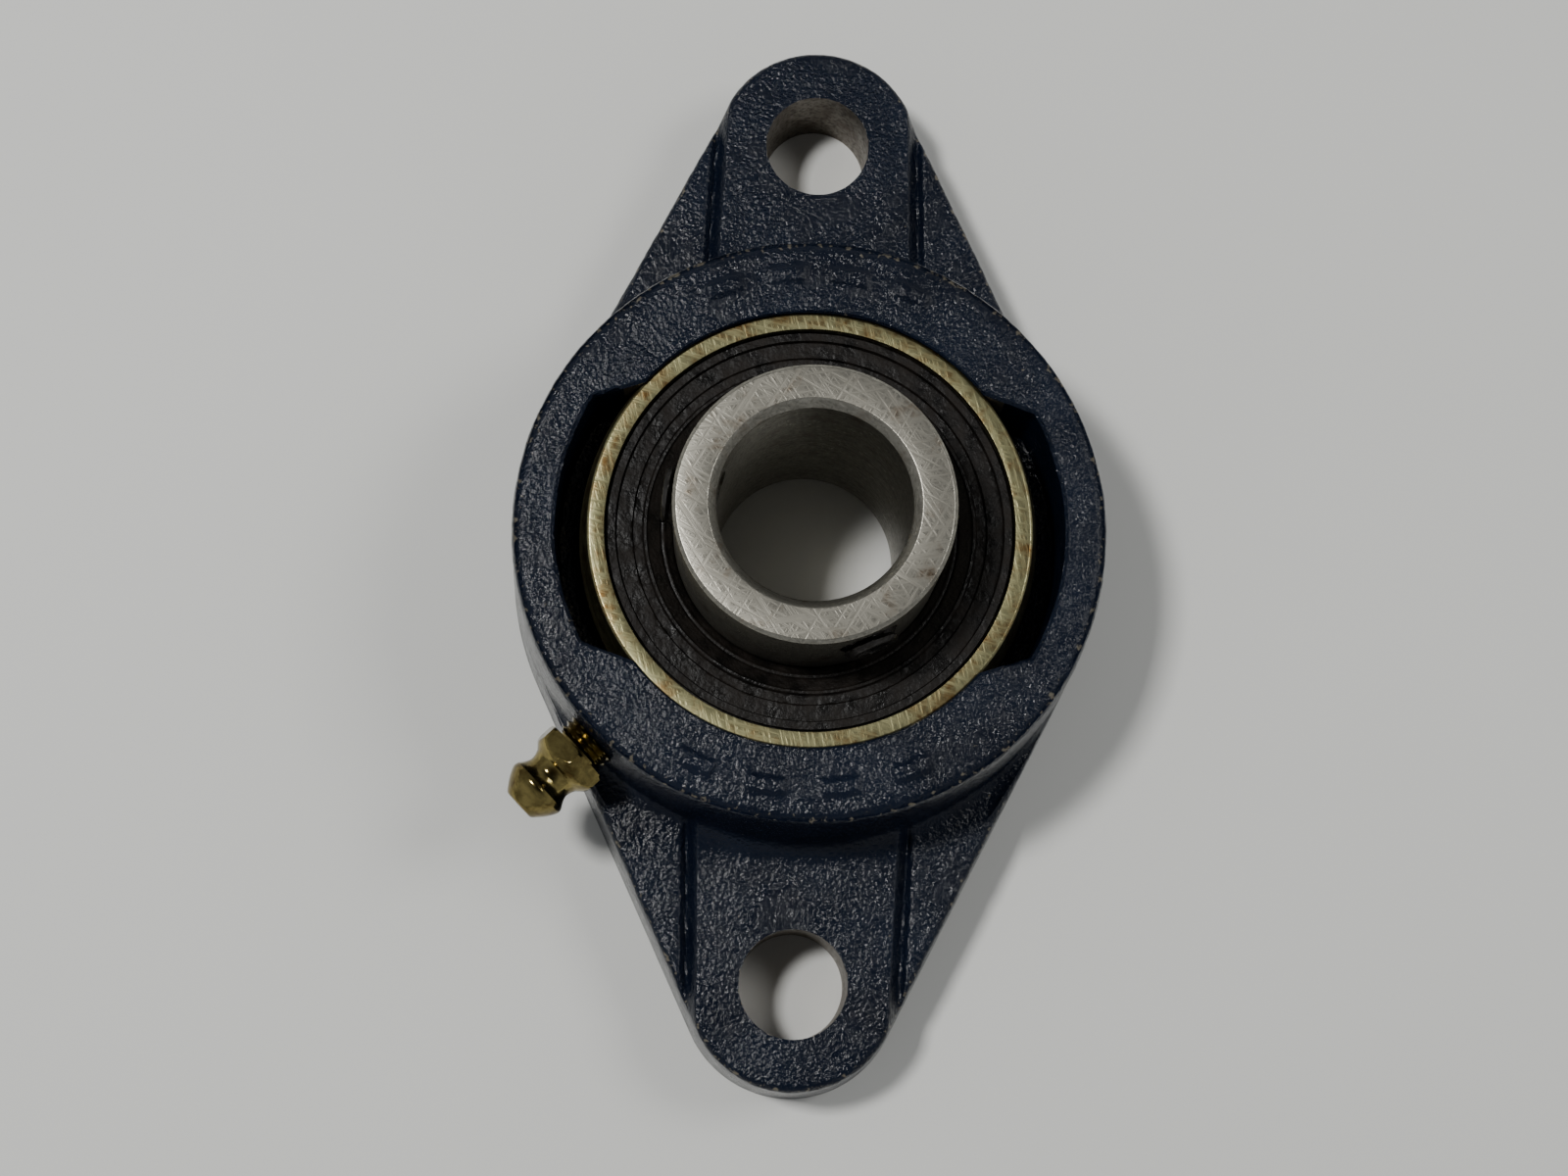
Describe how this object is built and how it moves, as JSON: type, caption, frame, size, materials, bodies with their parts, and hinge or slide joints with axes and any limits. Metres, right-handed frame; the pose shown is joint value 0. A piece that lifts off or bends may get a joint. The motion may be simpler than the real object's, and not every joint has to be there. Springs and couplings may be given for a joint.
{
  "type": "flange mount bearing",
  "caption": "Two-bolt flange mount bearing: cast housing with a self-aligning, sealed ball bearing insert, set screw locking and a grease nipple.",
  "frame": {"origin": "centre of the shaft's axis in the plane of the mounting face", "axes": "+Z along the shaft, from the mounting face towards the set screw end; the bolt holes lie on Y, the loading slots on X"},
  "size_m": [0.0626, 0.113, 0.0334],
  "materials": {
    "casting_enamel": "navy blue enamel over sand-cast grey iron, slightly glossy and grainy",
    "yellow_passivated_steel": "turned steel, zinc plated and yellow passivated",
    "outer_ring_steel": "ground bearing steel, faintly stained yellow by preservative",
    "inner_ring_steel": "ground bearing steel with fine scratches",
    "ball_steel": "polished bearing steel",
    "cage_steel": "pressed steel sheet",
    "seal_steel": "pressed steel washer",
    "seal_rubber": "moulded nitrile rubber, greasy",
    "black_oxide_steel": "blackened alloy steel",
    "spring_steel": "drawn spring wire"
  },
  "bodies": {
    "housing": {"housing": "casting_enamel", "nipple_body": "yellow_passivated_steel", "nipple_spring": "spring_steel"},
    "outer_ring": {"outer_ring": "outer_ring_steel", "front_seal_plate": "seal_steel", "front_seal_rubber": "seal_rubber", "rear_seal_plate": "seal_steel", "rear_seal_rubber": "seal_rubber"},
    "inner_ring": {"inner_ring": "inner_ring_steel"},
    "cage": {"cage_front": "cage_steel", "cage_rear": "cage_steel", "cage_rivets": "cage_steel"},
    "ball_1": {"ball_1": "ball_steel"},
    "ball_2": {"ball_2": "ball_steel"},
    "ball_3": {"ball_3": "ball_steel"},
    "ball_4": {"ball_4": "ball_steel"},
    "ball_5": {"ball_5": "ball_steel"},
    "ball_6": {"ball_6": "ball_steel"},
    "ball_7": {"ball_7": "ball_steel"},
    "ball_8": {"ball_8": "ball_steel"},
    "set_screw_1": {"set_screw_1": "black_oxide_steel"},
    "set_screw_2": {"set_screw_2": "black_oxide_steel"},
    "nipple_ball": {"nipple_ball": "ball_steel"}
  },
  "joints": [
    {"name": "insert_tilt", "type": "hinge", "parent": "housing", "child": "outer_ring", "pos_m": [0, 0, 0.0151], "axis": [1, 0, 0], "range_deg": [-5, 5]},
    {"name": "inner_spin", "type": "hinge", "parent": "outer_ring", "child": "inner_ring", "pos_m": [0, 0, 0.0151], "axis": [0, 0, 1], "continuous": true},
    {"name": "cage_spin", "type": "hinge", "parent": "outer_ring", "child": "cage", "pos_m": [0, 0, 0.0151], "axis": [0, 0, 1], "continuous": true},
    {"name": "ball_1_spin", "type": "hinge", "parent": "cage", "child": "ball_1", "pos_m": [0.0166, 0, 0.0151], "axis": [0, 0, 1], "continuous": true},
    {"name": "ball_2_spin", "type": "hinge", "parent": "cage", "child": "ball_2", "pos_m": [0.01174, 0.01174, 0.0151], "axis": [0, 0, 1], "continuous": true},
    {"name": "ball_3_spin", "type": "hinge", "parent": "cage", "child": "ball_3", "pos_m": [0, 0.0166, 0.0151], "axis": [0, 0, 1], "continuous": true},
    {"name": "ball_4_spin", "type": "hinge", "parent": "cage", "child": "ball_4", "pos_m": [-0.01174, 0.01174, 0.0151], "axis": [0, 0, 1], "continuous": true},
    {"name": "ball_5_spin", "type": "hinge", "parent": "cage", "child": "ball_5", "pos_m": [-0.0166, 0, 0.0151], "axis": [0, 0, 1], "continuous": true},
    {"name": "ball_6_spin", "type": "hinge", "parent": "cage", "child": "ball_6", "pos_m": [-0.01174, -0.01174, 0.0151], "axis": [0, 0, 1], "continuous": true},
    {"name": "ball_7_spin", "type": "hinge", "parent": "cage", "child": "ball_7", "pos_m": [0, -0.0166, 0.0151], "axis": [0, 0, 1], "continuous": true},
    {"name": "ball_8_spin", "type": "hinge", "parent": "cage", "child": "ball_8", "pos_m": [0.01174, -0.01174, 0.0151], "axis": [0, 0, 1], "continuous": true},
    {"name": "set_screw_1_travel", "type": "slide", "parent": "inner_ring", "child": "set_screw_1", "axis": [-0.4226, 0.9063, 0], "range_m": [-0.001, 0.0004]},
    {"name": "set_screw_2_travel", "type": "slide", "parent": "inner_ring", "child": "set_screw_2", "axis": [0.9962, -0.0872, 0], "range_m": [-0.001, 0.0004]},
    {"name": "nipple_ball_travel", "type": "slide", "parent": "housing", "child": "nipple_ball", "axis": [0.7071, 0.7071, 0], "range_m": [0, 0.0007], "stiffness_N_per_m": 300, "springref_m": -0.001, "deforming": ["nipple_spring"]}
  ],
  "couplings": [
    {"joint": "cage_spin", "follows": "inner_spin", "ratio": 0.38045},
    {"joint": "ball_1_spin", "follows": "inner_spin", "ratio": -1.9717},
    {"joint": "ball_2_spin", "follows": "inner_spin", "ratio": -1.9717},
    {"joint": "ball_3_spin", "follows": "inner_spin", "ratio": -1.9717},
    {"joint": "ball_4_spin", "follows": "inner_spin", "ratio": -1.9717},
    {"joint": "ball_5_spin", "follows": "inner_spin", "ratio": -1.9717},
    {"joint": "ball_6_spin", "follows": "inner_spin", "ratio": -1.9717},
    {"joint": "ball_7_spin", "follows": "inner_spin", "ratio": -1.9717},
    {"joint": "ball_8_spin", "follows": "inner_spin", "ratio": -1.9717}
  ]
}
